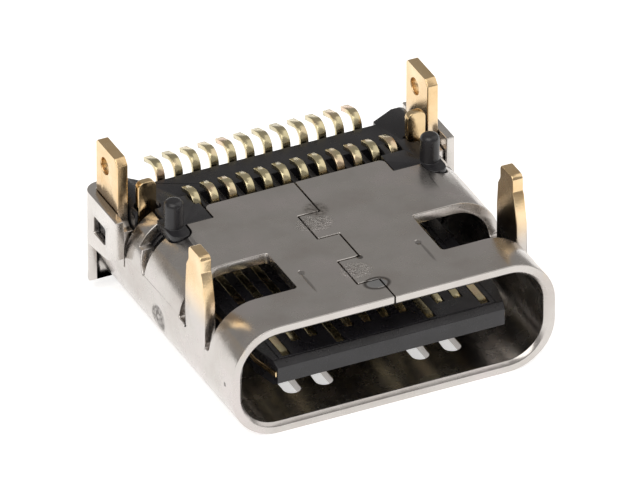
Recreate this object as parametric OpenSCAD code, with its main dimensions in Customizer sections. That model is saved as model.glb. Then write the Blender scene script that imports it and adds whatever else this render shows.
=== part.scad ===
// Board-mounted receptacle, dual-row, 24 contacts, shown board side up.
// X runs across the mouth, Y runs back from the mouth plane, Z runs up from the
// outer wall that the part rests on. All sizes are in millimetres.

/* [Shell] */
// Outer width of the rolled shell
shell_w = 8.94; // [8.84:0.02:9.1]
// Outer height of the rolled shell
shell_h = 3.16; // [3.1:0.02:3.3]
// Thickness of the shell's sheet
sheet = 0.3; // [0.24:0.01:0.32]
// Outer radius of the shell's four corners
corner_r = 1.3; // [1.15:0.01:1.4]
// Lead-in chamfer on the mouth's inner edge
mouth_lead = 0.1; // [0.04:0.01:0.14]
// Depth from the mouth to the housing's front face
cavity_len = 5.7; // [5.4:0.05:6.2]
// How far the board-side wall reaches past the housing's front face
wall_lap = 0.15; // [0.1:0.01:0.18]
// Distance from the shell's side in to the board-side wall's rear lobe
lobe_in = 1.97; // [1.8:0.01:2.1]
// How far the shoulders beside the lobe stand back from its edge
shoulder_drop = 0.6; // [0.45:0.05:0.7]

/* [Shell seam] */
// Gap between the two edges of the rolled sheet
seam_gap = 0.04; // [0.02:0.005:0.08]
// Side step of the interlocking tabs
tab_step = 0.6; // [0.4:0.02:0.8]
// Length of each interlocking tab along the shell
tab_len = 1.15; // [1:0.05:1.3]
// Distance from the mouth to the first tab
tab_start = 0.92; // [0.7:0.02:1.1]

/* [Front legs] */
// Distance from the mouth to the leg window
window_start = 1.42; // [1.2:0.02:1.7]
// Length of the leg window along the shell
window_len = 1.76; // [1.6:0.02:1.9]
// Distance from the shell's side in to the window's inner end
window_in = 2.47; // [2.3:0.01:2.6]
// Width of the slot in front of the leg
slot_w = 0.21; // [0.16:0.01:0.26]
// Width of a front leg at its root
leg_w = 1.14; // [1:0.02:1.2]
// Width of a front leg at its tip
leg_tip_w = 0.72; // [0.6:0.02:0.8]
// Height of the front legs above the board-side wall
leg_rise = 1.29; // [1:0.01:1.6]

/* [Rear legs] */
// Width of a rear leg
rear_leg_w = 1.25; // [1.15:0.01:1.3]
// Height of the rear legs above the board-side wall
rear_leg_rise = 1.31; // [1:0.01:1.6]
// Diameter of the hole in a rear leg
leg_hole_d = 0.46; // [0.3:0.02:0.6]
// Distance of the leg hole from the leg's tip
leg_hole_drop = 0.55; // [0.45:0.01:0.65]

/* [Shell springs] */
// Half distance between the two spring fingers in the resting wall
spring_half = 1.78; // [1.7:0.02:1.9]
// Width of a spring finger
spring_w = 0.44; // [0.36:0.02:0.5]
// Width of the slot along each side of a spring finger
spring_slot = 0.45; // [0.3:0.01:0.48]
// Distance from the mouth to the front end of the spring slots
spring_start = 1.08; // [0.9:0.02:1.3]
// Length of the spring slots
spring_len = 2.7; // [2.4:0.05:3]
// Height that a spring finger bows into the cavity
spring_bow = 0.22; // [0.1:0.01:0.3]

/* [Retention fingers] */
// Width of the rolled finger over each rear corner of the housing
finger_w = 0.53; // [0.45:0.01:0.6]
// Distance from the shell's side in to the finger's tip
finger_in = 0.77; // [0.7:0.01:0.8]

/* [Rear cover] */
// Thickness of the rear cover's sheet
cover_sheet = 0.23; // [0.18:0.01:0.28]
// Length of the cover's side flanges ahead of the shell's rear end
flange_len = 1.7; // [1.66:0.01:1.75]
// Distance from the board plane down to the top of the flanges
flange_drop = 0.21; // [0.15:0.01:0.4]
// Distance from the board plane down to the top of the back wall
back_drop = 0.75; // [0.65:0.01:0.9]
// Outer radius of the cover's two vertical bends
cover_r = 0.4; // [0.35:0.01:0.5]
// Gap between the shell's rear end and the cover's back wall
back_gap = 0.1; // [0.05:0.01:0.2]
// Length of the square latch window in each flange
latch_len = 0.7; // [0.6:0.01:0.76]
// Height of the latch window
latch_h = 0.5; // [0.4:0.01:0.56]

/* [Housing] */
// Depth of the contact bar behind the housing's front face
bar_len = 2.05; // [1.95:0.05:2.3]
// Distance from the board plane down to the top of the contact bar
bar_drop = 0.26; // [0.2:0.01:0.3]
// Distance from the shell's side in to the low part of the contact bar
bar_in = 1.27; // [1.23:0.01:1.3]
// Shell length behind the contact bar's rear face
bar_tail = 0.25; // [0.23:0.01:0.35]
// Diameter of the two locating pegs
peg_d = 0.5; // [0.4:0.01:0.56]
// Distance from the shell's side in to each locating peg
peg_in = 0.91; // [0.88:0.01:0.95]
// Distance from the pegs forward of the housing's front face
peg_back = 0.34; // [0.3:0.01:0.4]
// Height of the pegs above the board plane
peg_rise = 0.74; // [0.5:0.01:1]
// Running clearance between moulded and sheet pieces
fit = 0.03; // [0.02:0.005:0.05]

/* [Tongue] */
// Width of the tongue
tongue_w = 6.69; // [6.6:0.01:6.75]
// Thickness of the tongue
tongue_t = 0.7; // [0.66:0.01:0.76]
// Distance from the mouth plane back to the tongue's nose
nose_set = 0.17; // [0.1:0.01:0.3]
// Length of the nose ahead of the contact carriers
nose_len = 0.23; // [0.2:0.01:0.3]
// Depth of the thick base of the tongue
base_len = 0.8; // [0.7:0.01:0.95]
// Thickness of the base of the tongue
base_t = 1.24; // [1.2:0.01:1.3]
// Thickness of the plate between the two contact rows
plate_t = 0.15; // [0.1:0.01:0.18]
// Thickness of the two grounding pads on the base
pad_t = 0.12; // [0.1:0.01:0.15]

/* [Contacts] */
// Contacts in each row
contact_count = 12; // [12:1:12]
// Distance between neighbouring contacts
pitch = 0.5; // [0.49:0.005:0.5]
// Width of a contact strip
contact_w = 0.22; // [0.16:0.01:0.24]
// Thickness of a contact strip
contact_t = 0.13; // [0.1:0.01:0.14]
// Distance from the mouth to the tips of the signal contacts
signal_tip = 0.99; // [0.9:0.01:1.1]
// Distance from the mouth to the tips of the power and ground contacts
power_tip = 0.47; // [0.44:0.01:0.55]
// Radius of the bend that brings a contact's foot level with the board
foot_r = 0.3; // [0.24:0.01:0.34]
// Length of the straight end of the board row's feet
board_foot = 0.3; // [0.2:0.01:0.34]
// Length of the straight end of the far row's feet
far_foot = 0.4; // [0.3:0.01:0.6]
// Height of the feet above the board-side wall
foot_rise = 0.06; // [0.02:0.01:0.1]
// Width of a ground tail
tail_w = 0.5; // [0.4:0.01:0.56]
// Height of the ground tails above the board-side wall
tail_rise = 0.66; // [0.5:0.01:1]

/* [Hidden] */
$fn = 64;
eps = 0.01;
// clearance around insert-moulded metal
mould_gap = 0.01;
mid_z = shell_h / 2;
board_len = cavity_len + wall_lap;
bar_end = cavity_len + bar_len;
shell_len = bar_end + bar_tail;
inner_w = shell_w - 2 * sheet;
lobe_half = shell_w / 2 - lobe_in;
window_half = shell_w / 2 - window_in;
finger_half = shell_w / 2 - finger_in;
bar_half = shell_w / 2 - bar_in;
peg_half = shell_w / 2 - peg_in;
inner_r = corner_r - sheet;
// height at which the flat part of the side wall ends and its corner begins
side_top = shell_h - corner_r;
leg_y = window_start + slot_w;
peg_y = cavity_len - peg_back;
// clear space around a peg in the board-side wall
peg_notch = 0.05;
notch_len = peg_d / 2 + 0.34;
finger_y = cavity_len + 0.1;
finger_end = finger_y + finger_w;
relief = 0.08;
leg_hole_off = 0.12;
flange_y = shell_len - flange_len;
// height to which the side wall stands between the finger and the rear leg
skirt_z = side_top + 0.7;
cover_x = shell_w / 2 + 0.02;
cover_back = shell_len + back_gap;
// tight enough to clear the corners of the shell's rear end
cover_inner_r = min(cover_r - cover_sheet, 1.7 * back_gap);
latch_y = shell_len - 0.7;
latch_z = side_top + 0.31;
bar_z = shell_h - bar_drop;
// top of the blocks beside the contact bar
block_z = shell_h - 0.02;
block_x = inner_w / 2 - fit;
tongue_z = mid_z + tongue_t / 2;
tongue_half = tongue_w / 2;
// how far the nose's corners taper in, and over what length
nose_taper = 0.2;
taper_len = 0.9;
nose_chamfer = 0.12;
carrier_half = tongue_half - 0.35;
carrier_y = nose_set + nose_len;
base_y = cavity_len - base_len;
base_half = tongue_half - 0.15;
// middle heights of the two rows of strips on the tongue
board_z = tongue_z - contact_t / 2 + eps;
far_z = 2 * mid_z - board_z;
ramp_len = 0.26;
ramp_drop = 0.08;
tight_r = 0.15;
board_row_y = cavity_len + 0.55;
far_row_y = bar_end + contact_t / 2 + 0.055;
foot_z = shell_h + foot_rise - contact_t / 2;
foot_angle = 72;
// sideways step of the board row between tongue and feet
row_shift = pitch / 2;
jog_y = cavity_len + 0.05;
jog_len = 0.3;
insert_half = (contact_count - 1) / 2 * pitch + row_shift + contact_w / 2 + 0.09;
pocket_w = 0.34;
pocket_y = board_row_y - 0.2;
pocket_len = 0.75;
pocket_z = bar_z - 0.5;
tail_x = peg_half + 0.19;
tail_y = cavity_len + 0.9;
tail_t = 0.2;
tail_recess_z = bar_z - 0.35;
plate_proud = 0.02;
pad_root = 0.2;
carrier_floor = 0.4;
carrier_wall = 0.3;
ledge_z = mid_z + 0.62;
housing_end = cover_back - fit;
arm_z = shell_h - sheet + 0.01;

// ---- helpers ----

// Extrudes a shape drawn in X-Z from y0 to y1.
module along_y(y0, y1) {
    translate([0, y1, 0]) rotate([90, 0, 0]) linear_extrude(y1 - y0) children();
}

// Extrudes a shape drawn in Y-Z from x0 to x1.
module along_x(x0, x1) {
    translate([x0, 0, 0]) rotate([90, 0, 90]) linear_extrude(x1 - x0) children();
}

// Extrudes a shape drawn in X-Y from z0 to z1.
module along_z(z0, z1) {
    translate([0, 0, z0]) linear_extrude(z1 - z0) children();
}

module both_sides() {
    children();
    mirror([1, 0, 0]) children();
}

// Mirrors a shape from the tongue's board side to its far side.
module far_side() {
    translate([0, 0, 2 * mid_z]) mirror([0, 0, 1]) children();
}

// Rectangle with round corners, by its lowest corner and size.
module round_box(x, y, w, h, r) {
    translate([x + r, y]) square([w - 2 * r, h]);
    translate([x, y + r]) square([w, h - 2 * r]);
    for (cx = [x + r, x + w - r], cy = [y + r, y + h - r])
        translate([cx, cy]) circle(r);
}

// Cross-section of the shell, drawn in X-Z, shrunk by g all round.
module shell_section(g) {
    round_box(-shell_w / 2 + g, g, shell_w - 2 * g, shell_h - 2 * g, corner_r - g);
}

function arc(c, r, a0, a1, n) =
    [for (i = [0 : n]) let (a = a0 + (a1 - a0) * i / n) c + r * [cos(a), sin(a)]];

function unit(v) = v / norm(v);

// Mitred normal of an open path at point i.
function path_normal(path, i) =
    let (n = len(path),
         a = unit(path[max(i, 1)] - path[max(i, 1) - 1]),
         b = unit(path[min(i, n - 2) + 1] - path[min(i, n - 2)]),
         na = [-a[1], a[0]],
         m = unit(na + [-b[1], b[0]]))
    m / (m * na);

// Outline of a strip of thickness t that follows an open path.
function strip(path, t) =
    concat([for (i = [0 : len(path) - 1]) path[i] + path_normal(path, i) * t / 2],
           [for (i = [len(path) - 1 : -1 : 0]) path[i] - path_normal(path, i) * t / 2]);

// ---- shell ----

// Everything behind the board-side wall's rear edge, drawn in X-Y; g widens the wall.
module wall_cut(g) {
    shoulder_y = board_len - shoulder_drop;
    difference() {
        translate([-shell_w, shoulder_y + g]) square([2 * shell_w, shell_len]);
        round_box(-lobe_half - g, 0, 2 * (lobe_half + g), board_len + g, 0.18);
    }
    both_sides() peg_slot(peg_d / 2 + peg_notch - g, g > 0 ? 12 : $fn);
}

// Slot in the board-side wall around a peg, drawn in X-Y, its end having that many sides.
module peg_slot(r, sides) {
    translate([peg_half, peg_y - notch_len + peg_d / 2]) circle(r, $fn = sides);
    translate([peg_half - r, peg_y - notch_len + peg_d / 2]) square([2 * r, notch_len]);
}

module seam() {
    half = seam_gap / 2;
    near = half;
    far = -tab_step + half;
    for (k = [0 : 4]) {
        x = (k % 2 == 0) ? near : far;
        y0 = (k == 0) ? -1 : tab_start + (k - 1) * tab_len;
        y1 = (k == 4) ? board_len + 1 : tab_start + k * tab_len;
        translate([x - half, y0 - half]) square([seam_gap, y1 - y0 + seam_gap]);
        if (k > 0) translate([far - half, y0 - half]) square([near - far + seam_gap, seam_gap]);
    }
}

// Lead-in chamfer around the mouth's inner edge.
module mouth_chamfer() {
    w = inner_w / 2;
    h = shell_h / 2 - sheet;
    c = mouth_lead;
    for (sx = [-1, 1], sz = [-1, 1])
        translate([sx * (w - inner_r), -eps, mid_z + sz * (h - inner_r)])
            rotate([-90, 0, 0]) cylinder(h = c + eps, r1 = inner_r + c + eps, r2 = inner_r);
    along_x(inner_r - w, w - inner_r)
        polygon([[-eps, mid_z - h - c - eps], [c, mid_z - h], [c, mid_z + h], [-eps, mid_z + h + c + eps]]);
    along_z(mid_z - h + inner_r, mid_z + h - inner_r)
        polygon([[-w - c - eps, -eps], [-w, c], [w, c], [w + c + eps, -eps]]);
}

// Front leg, drawn in Y-Z.
module leg_outline() {
    top = shell_h + leg_rise;
    tip_y = leg_y + (leg_w - leg_tip_w) * 0.55;
    r = 0.15;
    polygon([[leg_y, mid_z], [leg_y + leg_w, mid_z], [leg_y + leg_w, shell_h],
             [leg_y + leg_w - 0.06, top - 0.62], [tip_y + leg_tip_w, top - 0.4],
             [tip_y + leg_tip_w, top - r], [tip_y, top - r], [tip_y, top - 0.45],
             [tip_y - 0.06, top - 0.55], [leg_y, shell_h]]);
    round_box(tip_y, top - 3 * r, leg_tip_w, 3 * r, r);
}

// Rear leg and the side wall that carries it, drawn in Y-Z.
module rear_leg_outline() {
    top = shell_h + rear_leg_rise;
    leg_y0 = shell_len - rear_leg_w;
    c = 0.08;
    polygon([[finger_end + relief, mid_z], [shell_len, mid_z], [shell_len, top - c],
             [shell_len - c, top], [leg_y0 + 2 * c, top], [leg_y0, top - 2 * c],
             [leg_y0, skirt_z + 0.12], [leg_y0 - 0.12, skirt_z], [finger_end + relief, skirt_z]]);
}

module rear_leg_cuts() {
    translate([shell_len - rear_leg_w / 2 + leg_hole_off, shell_h + rear_leg_rise - leg_hole_drop])
        circle(d = leg_hole_d);
    round_box(latch_y - latch_len / 2, latch_z - latch_h / 2, latch_len, latch_h, 0.08);
}

// Slots round one spring finger, drawn in X-Y.
module spring_slots() {
    r = spring_slot / 2;
    full = spring_w + 2 * spring_slot;
    for (s = [-1, 1])
        translate([spring_half + s * (spring_w + spring_slot) / 2, spring_start + r]) {
            circle(r);
            translate([-r, 0]) square([spring_slot, spring_len - r]);
        }
    translate([spring_half - full / 2, spring_start + spring_len - spring_slot])
        square([full, spring_slot]);
}

module spring_finger() {
    root = spring_start + spring_slot / 2;
    tip = spring_start + spring_len - spring_slot;
    z = sheet / 2;
    along_x(spring_half - spring_w / 2, spring_half + spring_w / 2)
        polygon(strip([[root - 0.1, z], [root + 0.1, z], [tip - 0.45, z + spring_bow],
                       [tip - 0.25, z + spring_bow], [tip - 0.05, z + spring_bow / 2]], sheet));
}

module shell() {
    plate_x = inner_w / 2;
    color("#9b938d") {
        difference() {
            along_y(0, shell_len) difference() {
                shell_section(0);
                shell_section(sheet);
            }
            mouth_chamfer();
            // board-side wall behind its rear edge
            along_z(mid_z, shell_h + 1) difference() {
                wall_cut(0);
                both_sides() {
                    // rolled finger
                    translate([finger_half, finger_y]) square([shell_w, finger_w]);
                    // corner beside the finger, trimmed below
                    translate([peg_half + peg_d / 2 + peg_notch, 0]) square([shell_w, finger_y]);
                }
            }
            // V-shaped relief between the corner and the rolled finger
            both_sides() along_x(peg_half + peg_d / 2, shell_w)
                polygon([[peg_y - 0.16, side_top + 0.14], [peg_y - 0.09, side_top + 0.1],
                         [peg_y - 0.02, side_top + 0.14], [finger_y, side_top + 0.9],
                         [finger_y, shell_h + 1], [peg_y - 0.16, shell_h + 1]]);
            both_sides() along_z(side_top + 0.6, shell_h + 1)
                translate([peg_half, peg_y - 0.16]) square([shell_w, finger_y - peg_y + 0.16]);
            // relief behind the finger
            both_sides() along_x(finger_half - 0.5, shell_w)
                translate([finger_end, side_top + 0.1]) square([relief, shell_h]);
            // rear corners, where the side wall stands straight
            both_sides() along_x(0, shell_w)
                translate([finger_end + eps, side_top]) square([shell_len, shell_h]);
            // leg windows
            both_sides() {
                along_z(side_top + 0.3, shell_h + 1)
                    round_box(window_half, window_start, shell_w, window_len, 0.1);
                along_x(inner_w / 2 - 0.4, shell_w)
                    round_box(window_start, side_top + 0.08, window_len, shell_h, 0.1);
            }
            both_sides() along_z(-1, sheet + eps) spring_slots();
            both_sides() along_x(plate_x - 0.1, shell_w) rear_leg_cuts();
            along_z(mid_z, shell_h + 1) seam();
        }
        both_sides() {
            along_x(plate_x, plate_x + sheet) leg_outline();
            along_x(plate_x, plate_x + sheet) difference() {
                rear_leg_outline();
                rear_leg_cuts();
            }
            spring_finger();
        }
    }
}

// ---- rear cover ----

module rear_cover() {
    out_x = cover_x + cover_sheet;
    back = cover_back + cover_sheet;
    top = shell_h - flange_drop;
    color("#b9b4ae") difference() {
        along_z(sheet, top) difference() {
            round_box(-out_x, 0, 2 * out_x, back, cover_r);
            round_box(-cover_x, -1, 2 * cover_x, cover_back + 1, cover_inner_r);
            translate([-shell_w, -1]) square([2 * shell_w, flange_y + 1]);
        }
        // slanting lower edge of the flanges
        along_x(-shell_w, shell_w)
            polygon([[0, 0], [shell_len - 0.1, 0], [shell_len - 0.05, mid_z - 0.18],
                     [shell_len - 1.2, mid_z - 0.02], [flange_y - eps, mid_z + 0.28], [0, mid_z + 0.28]]);
        // back wall lower than the flanges
        along_y(shell_len - 0.5, back + 1)
            round_box(-shell_w / 2 + 0.25, shell_h - back_drop, shell_w - 0.5, shell_h, 0.15);
        along_x(-shell_w, shell_w)
            round_box(latch_y - latch_len / 2, latch_z - latch_h / 2, latch_len, latch_h, 0.08);
    }
}

// ---- contacts ----

function is_power(i) = i == 1 || i == 4 || i == 9 || i == 12;
function contact_x(i) = (i - (contact_count + 1) / 2) * pitch;

// Centre line of a contact's ramped tip, lying dir of its strip's height z.
function tip_path(i, z, dir) =
    let (y = is_power(i) ? power_tip : signal_tip)
    [[y, z - dir * ramp_drop], [y + ramp_len, z]];

// Centre line of the riser at row_y and of the foot on top of it.
function riser_path(row_y, z, foot) = concat(
    arc([row_y - tight_r, z + tight_r], tight_r, -90, 0, 5),
    arc([row_y + foot_r, foot_z - foot_r], foot_r, 180, foot_angle, 8),
    [[row_y + foot_r, foot_z - foot_r] + foot_r * [cos(foot_angle), sin(foot_angle)]
     + foot * [sin(foot_angle), -cos(foot_angle)]]);

// Strip along a path at x, widened by g all round.
module run(x, path, g) {
    along_x(x - contact_w / 2 - g, x + contact_w / 2 + g)
        polygon(strip(path, contact_t + 2 * g));
}

// Board-row contact: it steps sideways by half a pitch inside the carrier.
module board_metal(i, g) {
    x = contact_x(i);
    half = contact_w / 2 + g;
    run(x, concat(tip_path(i, board_z, 1), [[jog_y, board_z]]), g);
    along_z(board_z - contact_t / 2 - g, board_z + contact_t / 2 + g)
        polygon([[x - half, jog_y], [x + half, jog_y], [x + row_shift + half, jog_y + jog_len],
                 [x + row_shift - half, jog_y + jog_len]]);
    run(x + row_shift, concat([[jog_y + jog_len, board_z]], riser_path(board_row_y, board_z, board_foot)), g);
}

module far_metal(i, g) {
    run(contact_x(i), concat(tip_path(i, far_z, -1), riser_path(far_row_y, far_z, far_foot)), g);
}

// Open groove over the exposed tip of a contact, dir being its side of the tongue.
module tip_groove(i, z, dir) {
    y = tip_path(i, z, dir)[0][0];
    half = contact_w / 2 + mould_gap;
    along_x(contact_x(i) - half, contact_x(i) + half)
        polygon([[y - mould_gap, z - dir * (ramp_drop + contact_t / 2)], [y + ramp_len, z],
                 [y + ramp_len, z + dir * contact_t], [y - mould_gap, z + dir * contact_t]]);
}

module board_contact(i) {
    color("#c9ad6a") board_metal(i, 0);
}

module far_contact(i) {
    color("#b79a5c") far_metal(i, 0);
}

// ---- carriers, plate and pads ----

// Moulded carrier of the board row, grown by g.
module board_carrier_body(g) {
    z = mid_z + plate_t / 2 + mould_gap;
    translate([-carrier_half - g, carrier_y - g, z - g])
        cube([2 * (carrier_half + g), cavity_len - carrier_y + 2 * g, tongue_z - z + 2 * g]);
    translate([-insert_half - g, cavity_len - g, z - g])
        cube([2 * (insert_half + g), board_row_y + carrier_wall - cavity_len + 2 * g, pocket_z - z + 2 * g]);
}

// Moulded carrier of the far row, grown by g.
module far_carrier_body(g) {
    top = mid_z - plate_t / 2 - mould_gap;
    bottom = 2 * mid_z - tongue_z;
    translate([-carrier_half - g, carrier_y - g, bottom - g])
        cube([2 * (carrier_half + g), cavity_len - carrier_y + 2 * g, top - bottom + 2 * g]);
    translate([-insert_half - g, cavity_len - g, bottom - carrier_floor - g])
        cube([2 * (insert_half + g), housing_end - cavity_len + g, top - bottom + carrier_floor + 2 * g]);
    translate([-insert_half - g, far_row_y - carrier_wall - g, mid_z - g])
        cube([2 * (insert_half + g), housing_end - far_row_y + carrier_wall + g, ledge_z - mid_z + g]);
    translate([-insert_half - g, far_row_y - carrier_wall - g, bottom - g])
        cube([2 * (insert_half + g), housing_end - far_row_y + carrier_wall + g, mid_z - bottom + 2 * g]);
}

module board_carrier() {
    color("#34323a") difference() {
        board_carrier_body(0);
        pad_body(mould_gap);
        for (i = [1 : contact_count]) {
            board_metal(i, mould_gap);
            tip_groove(i, board_z, 1);
        }
    }
}

module far_carrier() {
    color("#3c3a44") difference() {
        far_carrier_body(0);
        far_side() pad_body(mould_gap);
        for (i = [1 : contact_count]) {
            far_metal(i, mould_gap);
            tip_groove(i, far_z, -1);
        }
    }
}

// Plan of the tongue, drawn in X-Y, grown by g.
module tongue_plan(g) {
    w = tongue_half + g;
    polygon([[-w + nose_taper, nose_set - g], [w - nose_taper, nose_set - g],
             [w, nose_set + taper_len], [w, cavity_len + eps],
             [-w, cavity_len + eps], [-w, nose_set + taper_len]]);
}

// Plate between the rows, with the two upright ground tails, grown by g.
module mid_plate_body(g) {
    z0 = mid_z - plate_t / 2 - g;
    z1 = mid_z + plate_t / 2 + g;
    along_z(z0, z1) {
        difference() {
            tongue_plan(plate_proud + g);
            translate([-shell_w, -1]) square([2 * shell_w, nose_set + 0.06 - g + 1]);
            translate([-carrier_half + g, 0]) square([2 * (carrier_half - g), carrier_y - g]);
        }
        translate([-tail_x - tail_w / 2 - g, cavity_len])
            square([2 * tail_x + tail_w + 2 * g, tail_y + tail_t / 2 - cavity_len + g]);
    }
    both_sides() along_y(tail_y - tail_t / 2 - g, tail_y + tail_t / 2 + g)
        round_box(tail_x - tail_w / 2 - g, z0, tail_w + 2 * g, shell_h + tail_rise - z0 + g, tail_w * 0.36);
    both_sides() translate([tail_x - tail_w / 2 - g, tail_y - tail_t / 2 - g, z0])
        cube([tail_w + 2 * g, tail_t + 2 * g, 0.5]);
}

module mid_plate() {
    color("#b08d4f") mid_plate_body(0);
}

// Angled pad on the board side of the tongue's base, grown by g.
module pad_body(g) {
    z = mid_z + base_t / 2;
    along_x(-base_half + 0.1 - g, base_half - 0.1 + g)
        polygon([[base_y - pad_t - g, tongue_z + 0.06 - g], [base_y + g, tongue_z + 0.06 - g],
                 [base_y + g, z - g], [cavity_len + pad_root + g, z - g],
                 [cavity_len + pad_root + g, z + pad_t + g], [base_y - pad_t - g, z + pad_t + g]]);
}

module board_ground_pad() {
    color("#c4bfb8") pad_body(0);
}

module far_ground_pad() {
    color("#aaa59f") far_side() pad_body(0);
}

// ---- housing ----

module peg() {
    r = peg_d / 2;
    edge = 0.15;
    translate([peg_half, peg_y, 0]) {
        translate([0, 0, arm_z]) cylinder(h = shell_h + peg_rise - edge - arm_z, r = r);
        translate([0, 0, arm_z]) cylinder(h = shell_h + peg_rise - arm_z, r = r - edge);
        translate([0, 0, shell_h + peg_rise - edge]) rotate_extrude()
            translate([r - edge, 0]) intersection() {
                circle(edge);
                translate([0, -edge]) square([edge, 2 * edge]);
            }
    }
}

// Nose, side rails and thick base of the tongue.
module tongue() {
    low = 2 * mid_z - tongue_z;
    c = nose_chamfer;
    intersection() {
        along_z(low, tongue_z) tongue_plan(0);
        along_x(-shell_w, shell_w)
            polygon([[nose_set, low + c], [nose_set + 1.5 * c, low], [cavity_len + eps, low],
                     [cavity_len + eps, tongue_z], [nose_set + 1.5 * c, tongue_z], [nose_set, tongue_z - c]]);
    }
    translate([-base_half, base_y, mid_z - base_t / 2]) cube([2 * base_half, base_len + eps, base_t]);
}

// Rear cross-section, drawn in X-Z: low bar between two raised side blocks.
module block_section() {
    r = 0.25;
    polygon([[-block_x, side_top - 0.3], [block_x, side_top - 0.3], [block_x, block_z - r],
             [block_x - r, block_z - r], [block_x - r, block_z], [bar_half + 0.5, block_z],
             [bar_half, bar_z], [-bar_half, bar_z], [-bar_half - 0.5, block_z],
             [r - block_x, block_z], [r - block_x, block_z - r], [-block_x, block_z - r]]);
    for (s = [-1, 1]) translate([s * (block_x - r), block_z - r]) circle(r);
}

module housing_body() {
    block_y = finger_end + relief;
    tongue();
    along_y(cavity_len, housing_end) intersection() {
        shell_section(sheet + fit);
        translate([-shell_w, 0]) square([2 * shell_w, ledge_z]);
    }
    along_y(cavity_len, bar_end) shell_section(sheet + fit);
    along_y(board_len + fit, bar_end)
        translate([-bar_half, mid_z]) square([2 * bar_half, bar_z - mid_z]);
    along_y(block_y, bar_end) block_section();
    // side blocks reach further back than the bar
    both_sides() along_y(block_y, shell_len - 0.1) intersection() {
        block_section();
        translate([bar_half, 0]) square([shell_w, shell_h]);
    }
    // arms that fill the board-side wall's rear cut and carry the pegs
    both_sides() along_z(arm_z, block_z) intersection() {
        wall_cut(fit);
        union() {
            translate([lobe_half + fit, 0]) square([finger_half - fit - lobe_half - fit, block_y + 0.1]);
            translate([lobe_half, 0])
                square([peg_half + peg_d / 2 + peg_notch - fit - lobe_half, finger_y - fit]);
        }
    }
    both_sides() translate([lobe_half + fit, cavity_len, bar_z - 0.3])
        cube([finger_half - lobe_half - 0.2, block_y - cavity_len + 0.1, arm_z + 0.05 - bar_z + 0.3]);
    both_sides() peg();
    // latch lugs
    both_sides() along_x(block_x - 0.1, shell_w / 2 + 0.09)
        round_box(latch_y - latch_len / 2 + fit, latch_z - latch_h / 2 + fit,
                  latch_len - 2 * fit, latch_h - 2 * fit, 0.06);
}

module housing() {
    color("#2b2a30") difference() {
        housing_body();
        board_carrier_body(mould_gap);
        far_carrier_body(mould_gap);
        mid_plate_body(mould_gap);
        pad_body(mould_gap);
        far_side() pad_body(mould_gap);
        for (i = [1 : contact_count]) {
            board_metal(i, mould_gap);
            far_metal(i, mould_gap);
            // pocket under a board-row foot
            translate([contact_x(i) + row_shift - pocket_w / 2, pocket_y, pocket_z - eps])
                cube([pocket_w, pocket_len, shell_h]);
        }
        // recess round each ground tail
        both_sides() along_z(tail_recess_z, shell_h + 1)
            round_box(tail_x - tail_w / 2 - 0.06, tail_y - tail_t / 2 - 0.24,
                      tail_w + 0.12, tail_t + 0.3, 0.12);
    }
}

shell();
rear_cover();
housing();
board_carrier();
far_carrier();
mid_plate();
board_ground_pad();
far_ground_pad();
for (i = [1 : contact_count]) {
    board_contact(i);
    far_contact(i);
}
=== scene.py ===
"""Looks of a board-mounted 24-contact receptacle, lying board side up on a pale floor.

Metres throughout. X runs across the mouth, Y back from the mouth plane, Z up from the
wall that the part rests on.
"""
from math import cos, radians, sin

import bpy
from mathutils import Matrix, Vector


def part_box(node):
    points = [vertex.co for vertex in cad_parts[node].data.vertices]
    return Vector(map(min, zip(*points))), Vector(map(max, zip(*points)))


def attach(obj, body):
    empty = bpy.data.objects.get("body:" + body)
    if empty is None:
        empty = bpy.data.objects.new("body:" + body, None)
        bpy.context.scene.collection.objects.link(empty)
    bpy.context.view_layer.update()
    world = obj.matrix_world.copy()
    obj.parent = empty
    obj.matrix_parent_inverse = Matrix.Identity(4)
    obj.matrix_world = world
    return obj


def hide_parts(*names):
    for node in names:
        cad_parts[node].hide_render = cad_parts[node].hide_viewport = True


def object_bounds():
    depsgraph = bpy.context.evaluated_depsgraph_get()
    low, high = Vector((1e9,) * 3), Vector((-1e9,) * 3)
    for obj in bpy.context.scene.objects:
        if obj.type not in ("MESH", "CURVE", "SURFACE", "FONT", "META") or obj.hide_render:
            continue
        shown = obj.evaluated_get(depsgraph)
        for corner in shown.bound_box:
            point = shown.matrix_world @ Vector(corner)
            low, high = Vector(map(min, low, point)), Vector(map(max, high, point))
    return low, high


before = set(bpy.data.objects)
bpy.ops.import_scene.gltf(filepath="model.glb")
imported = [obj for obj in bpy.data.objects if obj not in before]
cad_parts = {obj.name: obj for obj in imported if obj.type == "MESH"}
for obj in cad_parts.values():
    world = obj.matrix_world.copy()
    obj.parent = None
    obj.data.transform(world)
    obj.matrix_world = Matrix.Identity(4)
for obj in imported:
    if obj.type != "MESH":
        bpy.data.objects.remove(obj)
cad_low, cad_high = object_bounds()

MM = 0.001

# ---- places worked out from the frame ----

sheet = 0.3 * MM                      # thickness of the shell's sheet
board_z = 3.16 * MM                   # board side of the shell
wall_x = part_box("shell")[1].x         # outer face of the shell's side walls
leg_x = wall_x - sheet                # inner face of the legs
gold_from_z = board_z - 0.8 * MM      # where the legs' gold begins
gold_full_z = board_z + 0.35 * MM     # where the legs are gold all over

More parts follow.
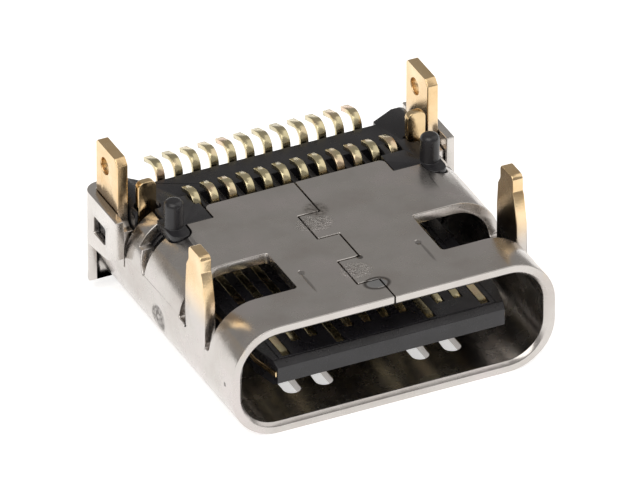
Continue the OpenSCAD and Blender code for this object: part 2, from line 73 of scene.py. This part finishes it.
# marks on the shell: centre and half sizes in millimetres, in x and y on the board side
# (the coined pair as a distance from the middle) and in y and z on the left flank
REAR_WELD = ((-0.05, 4.45), (0.30, 0.32))
FRONT_WELD = ((-0.13, 0.75), (0.26, 0.20))
RING_OUTSIDE = ((-0.13, 0.75), (0.36, 0.29))
RING_INSIDE = ((-0.13, 0.75), (0.27, 0.21))
PIN_HOLE = ((0.0, 2.02), (0.075, 0.09))
REAR_SCUFF = ((-0.35, 3.9), (0.42, 0.30))
FRONT_SCUFF = ((-0.35, 1.5), (0.34, 0.30))
COINED_RIDGE = ((1.65, 1.5), (0.035, 0.42))
COINED_PIT = ((1.62, 2.0), (0.08, 0.10))
FLANK_DIMPLE = ((4.36, 1.21), (0.36, 0.36))
FLANK_PIT = ((0.46, 1.54), (0.05, 0.05))


# ---- making and finishing pieces ----

def deselect_all():
    if bpy.context.object and bpy.context.object.mode != "OBJECT":
        bpy.ops.object.mode_set(mode="OBJECT")
    bpy.ops.object.select_all(action="DESELECT")


def pick(piece):
    """Makes piece the only selected object and the active one."""
    deselect_all()
    piece.select_set(True)
    bpy.context.view_layer.objects.active = piece


def merged_copy(node, name):
    """A copy of a CAD node's mesh with its triangles joined into whole faces."""
    piece = bpy.data.objects.new(name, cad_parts[node].data.copy())
    bpy.context.scene.collection.objects.link(piece)
    piece.data.materials.clear()
    pick(piece)
    bpy.ops.object.mode_set(mode="EDIT")
    bpy.ops.mesh.select_all(action="SELECT")
    bpy.ops.mesh.remove_doubles(threshold=0.0005 * MM)
    bpy.ops.mesh.dissolve_limited(angle_limit=radians(0.3))
    bpy.ops.object.mode_set(mode="OBJECT")
    return piece


def round_edges(piece, width, segments):
    """Rounds every edge sharper than 30 degrees, as tumbling or a moulding tool leaves it."""
    pick(piece)
    bevel = piece.modifiers.new("rounded_edges", "BEVEL")
    bevel.width = width
    bevel.segments = segments
    bevel.limit_method = "ANGLE"
    bevel.angle_limit = radians(30)
    bevel.use_clamp_overlap = False
    bevel.miter_outer = "MITER_ARC"
    bpy.ops.object.modifier_apply(modifier=bevel.name)
    bpy.ops.object.shade_smooth_by_angle(angle=radians(40))
    weigh = piece.modifiers.new("even_shading", "WEIGHTED_NORMAL")
    weigh.keep_sharp = True
    bpy.ops.object.modifier_apply(modifier=weigh.name)


def finish_piece(piece, material, node):
    """Gives a piece its material and its place in the frame, instead of the CAD node."""
    piece.data.materials.clear()
    piece.data.materials.append(material)
    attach(piece, "root")
    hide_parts(node)


# ---- material building blocks ----

def new_material(name):
    """An empty node material, with its tree and its shader."""
    material = bpy.data.materials.new(name)
    material.use_nodes = True
    shader = material.node_tree.nodes["Principled BSDF"]
    return material, material.node_tree, shader


def add(tree, kind, **settings):
    made = tree.nodes.new(kind)
    for key, value in settings.items():
        setattr(made, key, value)
    return made


def noise(tree, size, detail=4.0, rough=0.55):
    """Noise whose largest blotches are about size metres across."""
    where = add(tree, "ShaderNodeTexCoord")
    made = add(tree, "ShaderNodeTexNoise")
    made.inputs["Scale"].default_value = 1.0 / size
    made.inputs["Detail"].default_value = detail
    made.inputs["Roughness"].default_value = rough
    tree.links.new(where.outputs["Object"], made.inputs["Vector"])
    return made.outputs["Fac"]


def ramp(tree, value, *stops):
    """Colour ramp through (position, colour) stops."""
    made = add(tree, "ShaderNodeValToRGB")
    elements = made.color_ramp.elements
    while len(elements) < len(stops):
        elements.new(0.5)
    for element, (position, colour) in zip(elements, stops):
        element.position = position
        element.color = (*colour, 1.0)
    tree.links.new(value, made.inputs["Fac"])
    return made.outputs["Color"]


def spread(tree, value, low, high, to_low=0.0, to_high=1.0):
    """Maps value from low..high to to_low..to_high, smoothly and clamped."""
    made = add(tree, "ShaderNodeMapRange", interpolation_type="SMOOTHSTEP")
    tree.links.new(value, made.inputs["Value"])
    made.inputs["From Min"].default_value = low
    made.inputs["From Max"].default_value = high
    made.inputs["To Min"].default_value = to_low
    made.inputs["To Max"].default_value = to_high
    return made.outputs["Result"]


def maths(tree, operation, a, b=None):
    made = add(tree, "ShaderNodeMath", operation=operation)
    for socket, value in zip(made.inputs, (a, b)):
        if isinstance(value, (int, float)):
            socket.default_value = value
        elif value is not None:
            tree.links.new(value, socket)
    return made.outputs["Value"]


def oval(tree, a, b, mark, soft=0.3):
    """1 inside a mark's oval in the a-b plane, 0 outside; soft is the width of its edge."""
    centre, half = mark
    across = maths(tree, "MULTIPLY", maths(tree, "SUBTRACT", a, centre[0] * MM), 1 / (half[0] * MM))
    along = maths(tree, "MULTIPLY", maths(tree, "SUBTRACT", b, centre[1] * MM), 1 / (half[1] * MM))
    squares = maths(tree, "ADD", maths(tree, "POWER", across, 2.0), maths(tree, "POWER", along, 2.0))
    return spread(tree, maths(tree, "SQRT", squares), 1.0 - soft, 1.0 + soft, 1.0, 0.0)


def times(tree, first, *others):
    """Product of values."""
    for other in others:
        first = maths(tree, "MULTIPLY", first, other)
    return first


def total(tree, first, *others):
    """Sum of values."""
    for other in others:
        first = maths(tree, "ADD", first, other)
    return first


def blend(tree, factor, a, b):
    """Colour a where factor is 0, colour b where it is 1."""
    made = add(tree, "ShaderNodeMix", data_type="RGBA")
    tree.links.new(factor, made.inputs["Factor"])
    for name, value in (("A", a), ("B", b)):
        socket = [s for s in made.inputs if s.name == name and s.type == "RGBA"][0]
        if isinstance(value, tuple):
            socket.default_value = (*value, 1.0)
        else:
            tree.links.new(value, socket)
    return [s for s in made.outputs if s.type == "RGBA"][0]


def bump(tree, shader, height, depth):
    """Relief of the given height, times depth in metres."""
    made = add(tree, "ShaderNodeBump")
    made.inputs["Strength"].default_value = 1.0
    made.inputs["Distance"].default_value = depth
    tree.links.new(height, made.inputs["Height"])
    tree.links.new(made.outputs["Normal"], shader.inputs["Normal"])


def place(tree):
    """The point's x, y and z in metres, with x as a distance from the middle too."""
    where = add(tree, "ShaderNodeTexCoord")
    parts = add(tree, "ShaderNodeSeparateXYZ")
    tree.links.new(where.outputs["Object"], parts.inputs[0])
    x, y, z = parts.outputs
    return x, y, z, maths(tree, "ABSOLUTE", x)


# ---- materials ----

def satin_nickel():
    """Warm nickel plate with welds and tool marks, painted shade in its pin-hole, grooves, pits and dimple,
    gold towards the tips of the legs.
    """
    material, tree, shader = new_material("satin_nickel")
    x, y, z, side = place(tree)
    board = spread(tree, z, board_z - 0.12 * MM, board_z - 0.03 * MM)
    flank = times(tree, spread(tree, side, wall_x - 0.12 * MM, wall_x - 0.03 * MM),
                  spread(tree, x, -0.1 * MM, 0.1 * MM, 1.0, 0.0))
    plate = ramp(tree, noise(tree, 1.6 * MM), (0.35, (0.50, 0.465, 0.44)), (0.50, (0.545, 0.52, 0.495)),
                 (0.66, (0.585, 0.545, 0.53)))
    gold = ramp(tree, noise(tree, 0.8 * MM), (0.3, (0.72, 0.50, 0.26)), (0.7, (0.86, 0.67, 0.42)))
    on_leg = times(tree, spread(tree, side, leg_x - 0.08 * MM, leg_x),
                   spread(tree, z, gold_from_z, gold_full_z))
    colour = blend(tree, on_leg, plate, gold)

    # welds over the seam: a dull rear one, a bluish front one with a dark ring, and a pin-hole painted
    # near-black as the shade inside it
    rough_grain = noise(tree, 0.09 * MM, 5.0, 0.7)
    rear_weld = times(tree, board, oval(tree, x, y, REAR_WELD))
    front_weld = times(tree, board, oval(tree, x, y, FRONT_WELD))
    front_ring = times(tree, board, maths(tree, "SUBTRACT", oval(tree, x, y, RING_OUTSIDE, 0.12),
                                          oval(tree, x, y, RING_INSIDE, 0.12)))
    pin_hole = times(tree, board, oval(tree, x, y, PIN_HOLE))
    scuffs = times(tree, board, spread(tree, rough_grain, 0.42, 0.62),
                   total(tree, oval(tree, x, y, REAR_SCUFF, 0.6), oval(tree, x, y, FRONT_SCUFF, 0.6)))
    # coined marks ahead of the leg windows, darkened as painted shade in their grooves and pits, and a dimple
    # and a pit in the left flank
    marks = times(tree, board,
                  total(tree, oval(tree, side, y, COINED_RIDGE), oval(tree, side, y, COINED_PIT)))
    # the flank dimple is darkened all over as painted shade, with darker rough spots in it, and the flank pit
    # is painted near-black as its shade
    dimple = times(tree, flank, oval(tree, y, z, FLANK_DIMPLE, 0.15))
    dimple_spots = times(tree, dimple, spread(tree, rough_grain, 0.40, 0.60))
    pit = times(tree, flank, oval(tree, y, z, FLANK_PIT))
    colour = blend(tree, times(tree, rear_weld, spread(tree, rough_grain, 0.35, 0.65, 0.4, 0.95)),
                   colour, (0.16, 0.145, 0.13))
    colour = blend(tree, times(tree, front_weld, 0.7), colour, (0.36, 0.38, 0.40))
    # darkening: the weld ring and the scuffs are marks on the plate; the pin-hole, coined marks, dimple and
    # flank pit are painted shade
    dark = total(tree, front_ring, pin_hole, times(tree, scuffs, 0.7), times(tree, marks, 0.5),
                 times(tree, dimple_spots, 0.75), times(tree, dimple, 0.25), pit)
    colour = blend(tree, times(tree, dark, 0.8), colour, (0.07, 0.06, 0.055))
    tree.links.new(colour, shader.inputs["Base Color"])

    polish = spread(tree, noise(tree, 0.5 * MM), 0.3, 0.7, 0.20, 0.30)
    tree.links.new(total(tree, polish, times(tree, total(tree, rear_weld, scuffs, dimple_spots), 0.25)),
                   shader.inputs["Roughness"])
    shader.inputs["Metallic"].default_value = 1.0
    grain = total(tree, times(tree, noise(tree, 0.06 * MM, 2.0), 0.0015 * MM),
                  times(tree, noise(tree, 0.6 * MM, 3.0), 0.003 * MM))
    sunk = total(tree, times(tree, rear_weld, 0.015 * MM), times(tree, front_ring, 0.012 * MM),
                 times(tree, pin_hole, 0.04 * MM), times(tree, marks, 0.02 * MM),
                 times(tree, dimple, 0.03 * MM), times(tree, pit, 0.03 * MM))
    rough = times(tree, rough_grain, total(tree, rear_weld, scuffs, dimple), 0.03 * MM)
    bump(tree, shader, maths(tree, "SUBTRACT", total(tree, grain, rough), sunk), 1.0)
    return material


def cover_nickel():
    """The cover's slightly brighter, smoother nickel plate."""
    material, tree, shader = new_material("cover_nickel")
    plate = ramp(tree, noise(tree, 1.2 * MM), (0.35, (0.58, 0.55, 0.52)), (0.65, (0.66, 0.63, 0.60)))
    tree.links.new(plate, shader.inputs["Base Color"])
    tree.links.new(spread(tree, noise(tree, 0.4 * MM), 0.3, 0.7, 0.20, 0.30), shader.inputs["Roughness"])
    shader.inputs["Metallic"].default_value = 1.0
    bump(tree, shader, noise(tree, 0.08 * MM, 3.0), 0.002 * MM)
    return material


def moulded(name, dark, light, rough):
    """Fine moulded plastic between two near-black tones."""
    material, tree, shader = new_material(name)
    tree.links.new(ramp(tree, noise(tree, 0.7 * MM), (0.35, dark), (0.7, light)), shader.inputs["Base Color"])
    tree.links.new(spread(tree, noise(tree, 0.3 * MM), 0.3, 0.7, rough - 0.07, rough + 0.07),
                   shader.inputs["Roughness"])
    bump(tree, shader, noise(tree, 0.05 * MM, 4.0), 0.002 * MM)
    return material


def contact_gold():
    """Pale olive gold flash, with copper showing here and there."""
    material, tree, shader = new_material("contact_gold")
    flash = ramp(tree, noise(tree, 0.9 * MM, 2.0), (0.30, (0.50, 0.44, 0.28)), (0.50, (0.66, 0.58, 0.36)),
                 (0.72, (0.72, 0.50, 0.36)))
    tree.links.new(flash, shader.inputs["Base Color"])
    tree.links.new(spread(tree, noise(tree, 0.2 * MM), 0.3, 0.7, 0.16, 0.30), shader.inputs["Roughness"])
    shader.inputs["Metallic"].default_value = 1.0
    bump(tree, shader, noise(tree, 0.05 * MM, 3.0), 0.002 * MM)
    return material


def plate_gold():
    """Gold plate of the grounding plate and its tails."""
    material, tree, shader = new_material("plate_gold")
    tree.links.new(ramp(tree, noise(tree, 0.6 * MM), (0.3, (0.62, 0.45, 0.24)), (0.7, (0.78, 0.60, 0.36))),
                   shader.inputs["Base Color"])
    tree.links.new(spread(tree, noise(tree, 0.2 * MM), 0.3, 0.7, 0.12, 0.22), shader.inputs["Roughness"])
    shader.inputs["Metallic"].default_value = 1.0
    bump(tree, shader, noise(tree, 0.06 * MM, 3.0), 0.002 * MM)
    return material


def floor_paper():
    material, tree, shader = new_material("floor_paper")
    tree.links.new(ramp(tree, noise(tree, 30 * MM), (0.3, (0.90, 0.90, 0.90)), (0.7, (0.92, 0.92, 0.92))),
                   shader.inputs["Base Color"])
    shader.inputs["Roughness"].default_value = 0.9
    shader.inputs["Emission Color"].default_value = (1.0, 1.0, 1.0, 1.0)
    shader.inputs["Emission Strength"].default_value = 0.55
    return material


nickel = satin_nickel()
cover_plate = cover_nickel()
housing_black = moulded("housing_black", (0.010, 0.0095, 0.011), (0.018, 0.017, 0.020), 0.30)
carrier_grey = moulded("carrier_grey", (0.012, 0.0115, 0.014), (0.022, 0.021, 0.026), 0.30)
flash_gold = contact_gold()
tail_gold = plate_gold()


# ---- pieces ----

def dressed(node, name, edge, material, segments=2):
    """A CAD node's shape with its edges rounded and its finish on."""
    piece = merged_copy(node, name)
    round_edges(piece, edge, segments)
    finish_piece(piece, material, node)


dressed("shell", "rolled_shell", 0.025 * MM, nickel, 3)
dressed("rear_cover", "folded_cover", 0.02 * MM, cover_plate)
dressed("housing", "moulded_housing", 0.015 * MM, housing_black)
dressed("board_carrier", "board_row_carrier", 0.004 * MM, carrier_grey, 1)
dressed("far_carrier", "far_row_carrier", 0.004 * MM, carrier_grey, 1)
dressed("mid_plate", "grounding_plate", 0.02 * MM, tail_gold)
dressed("board_ground_pad", "board_side_pad", 0.015 * MM, cover_plate)
dressed("far_ground_pad", "far_side_pad", 0.015 * MM, cover_plate)
for row in ("board", "far"):
    for number in range(1, 13):
        dressed(f"{row}_contact_{number}", f"{row}_row_contact_{number}", 0.018 * MM,
                flash_gold)


# ---- floor, light and camera ----

def make_floor():
    deselect_all()
    bpy.ops.mesh.primitive_plane_add(size=3.0, location=(0, 0, -0.002 * MM))
    floor = bpy.context.object
    floor.name = "floor"
    bpy.ops.object.transform_apply(location=True, rotation=True, scale=True)
    floor.data.materials.append(floor_paper())


def soft_light(name, place, size, power, colour):
    """Square area light at place, in metres, aimed at the part."""
    lamp = bpy.data.lights.new(name, "AREA")
    lamp.size = size
    lamp.energy = power
    lamp.color = colour
    holder = bpy.data.objects.new(name, lamp)
    bpy.context.scene.collection.objects.link(holder)
    holder.location = place
    holder.rotation_euler = (middle - Vector(place)).to_track_quat("-Z", "Y").to_euler()


def make_world():
    world = bpy.data.worlds.new("studio")
    bpy.context.scene.world = world
    world.use_nodes = True
    sky = world.node_tree.nodes["Background"]
    sky.inputs["Color"].default_value = (1.0, 0.97, 0.94, 1.0)
    sky.inputs["Strength"].default_value = 0.35


def make_camera():
    """Long lens, from in front, the left and above."""
    turn, lift = radians(-25.577), radians(32.899)
    back = Vector((sin(turn) * cos(lift), -cos(turn) * cos(lift), sin(lift)))
    right = Vector((cos(turn), sin(turn), 0))
    up = back.cross(right)
    aim = Vector((0, 4.0, 1.6)) * MM - right * 0.1355 * MM + up * 0.7605 * MM
    distance = 538.1 * MM
    lens = bpy.data.cameras.new("camera")
    lens.sensor_width = 36
    lens.lens = 1205.9
    lens.clip_start = 0.01
    lens.clip_end = 10
    camera = bpy.data.objects.new("camera", lens)
    bpy.context.scene.collection.objects.link(camera)
    camera.location = aim + back * distance
    camera.rotation_euler = (-back).to_track_quat("-Z", "Y").to_euler()
    bpy.context.scene.camera = camera


middle = (cad_low + cad_high) / 2
make_floor()
make_world()
soft_light("key", (-0.35, -0.3, 0.7), 0.8, 4.0, (1.0, 0.98, 0.95))
soft_light("fill", (0.5, -0.1, 0.5), 0.8, 1.5, (1.0, 0.98, 0.96))
make_camera()
bpy.context.scene.view_settings.view_transform = "Standard"
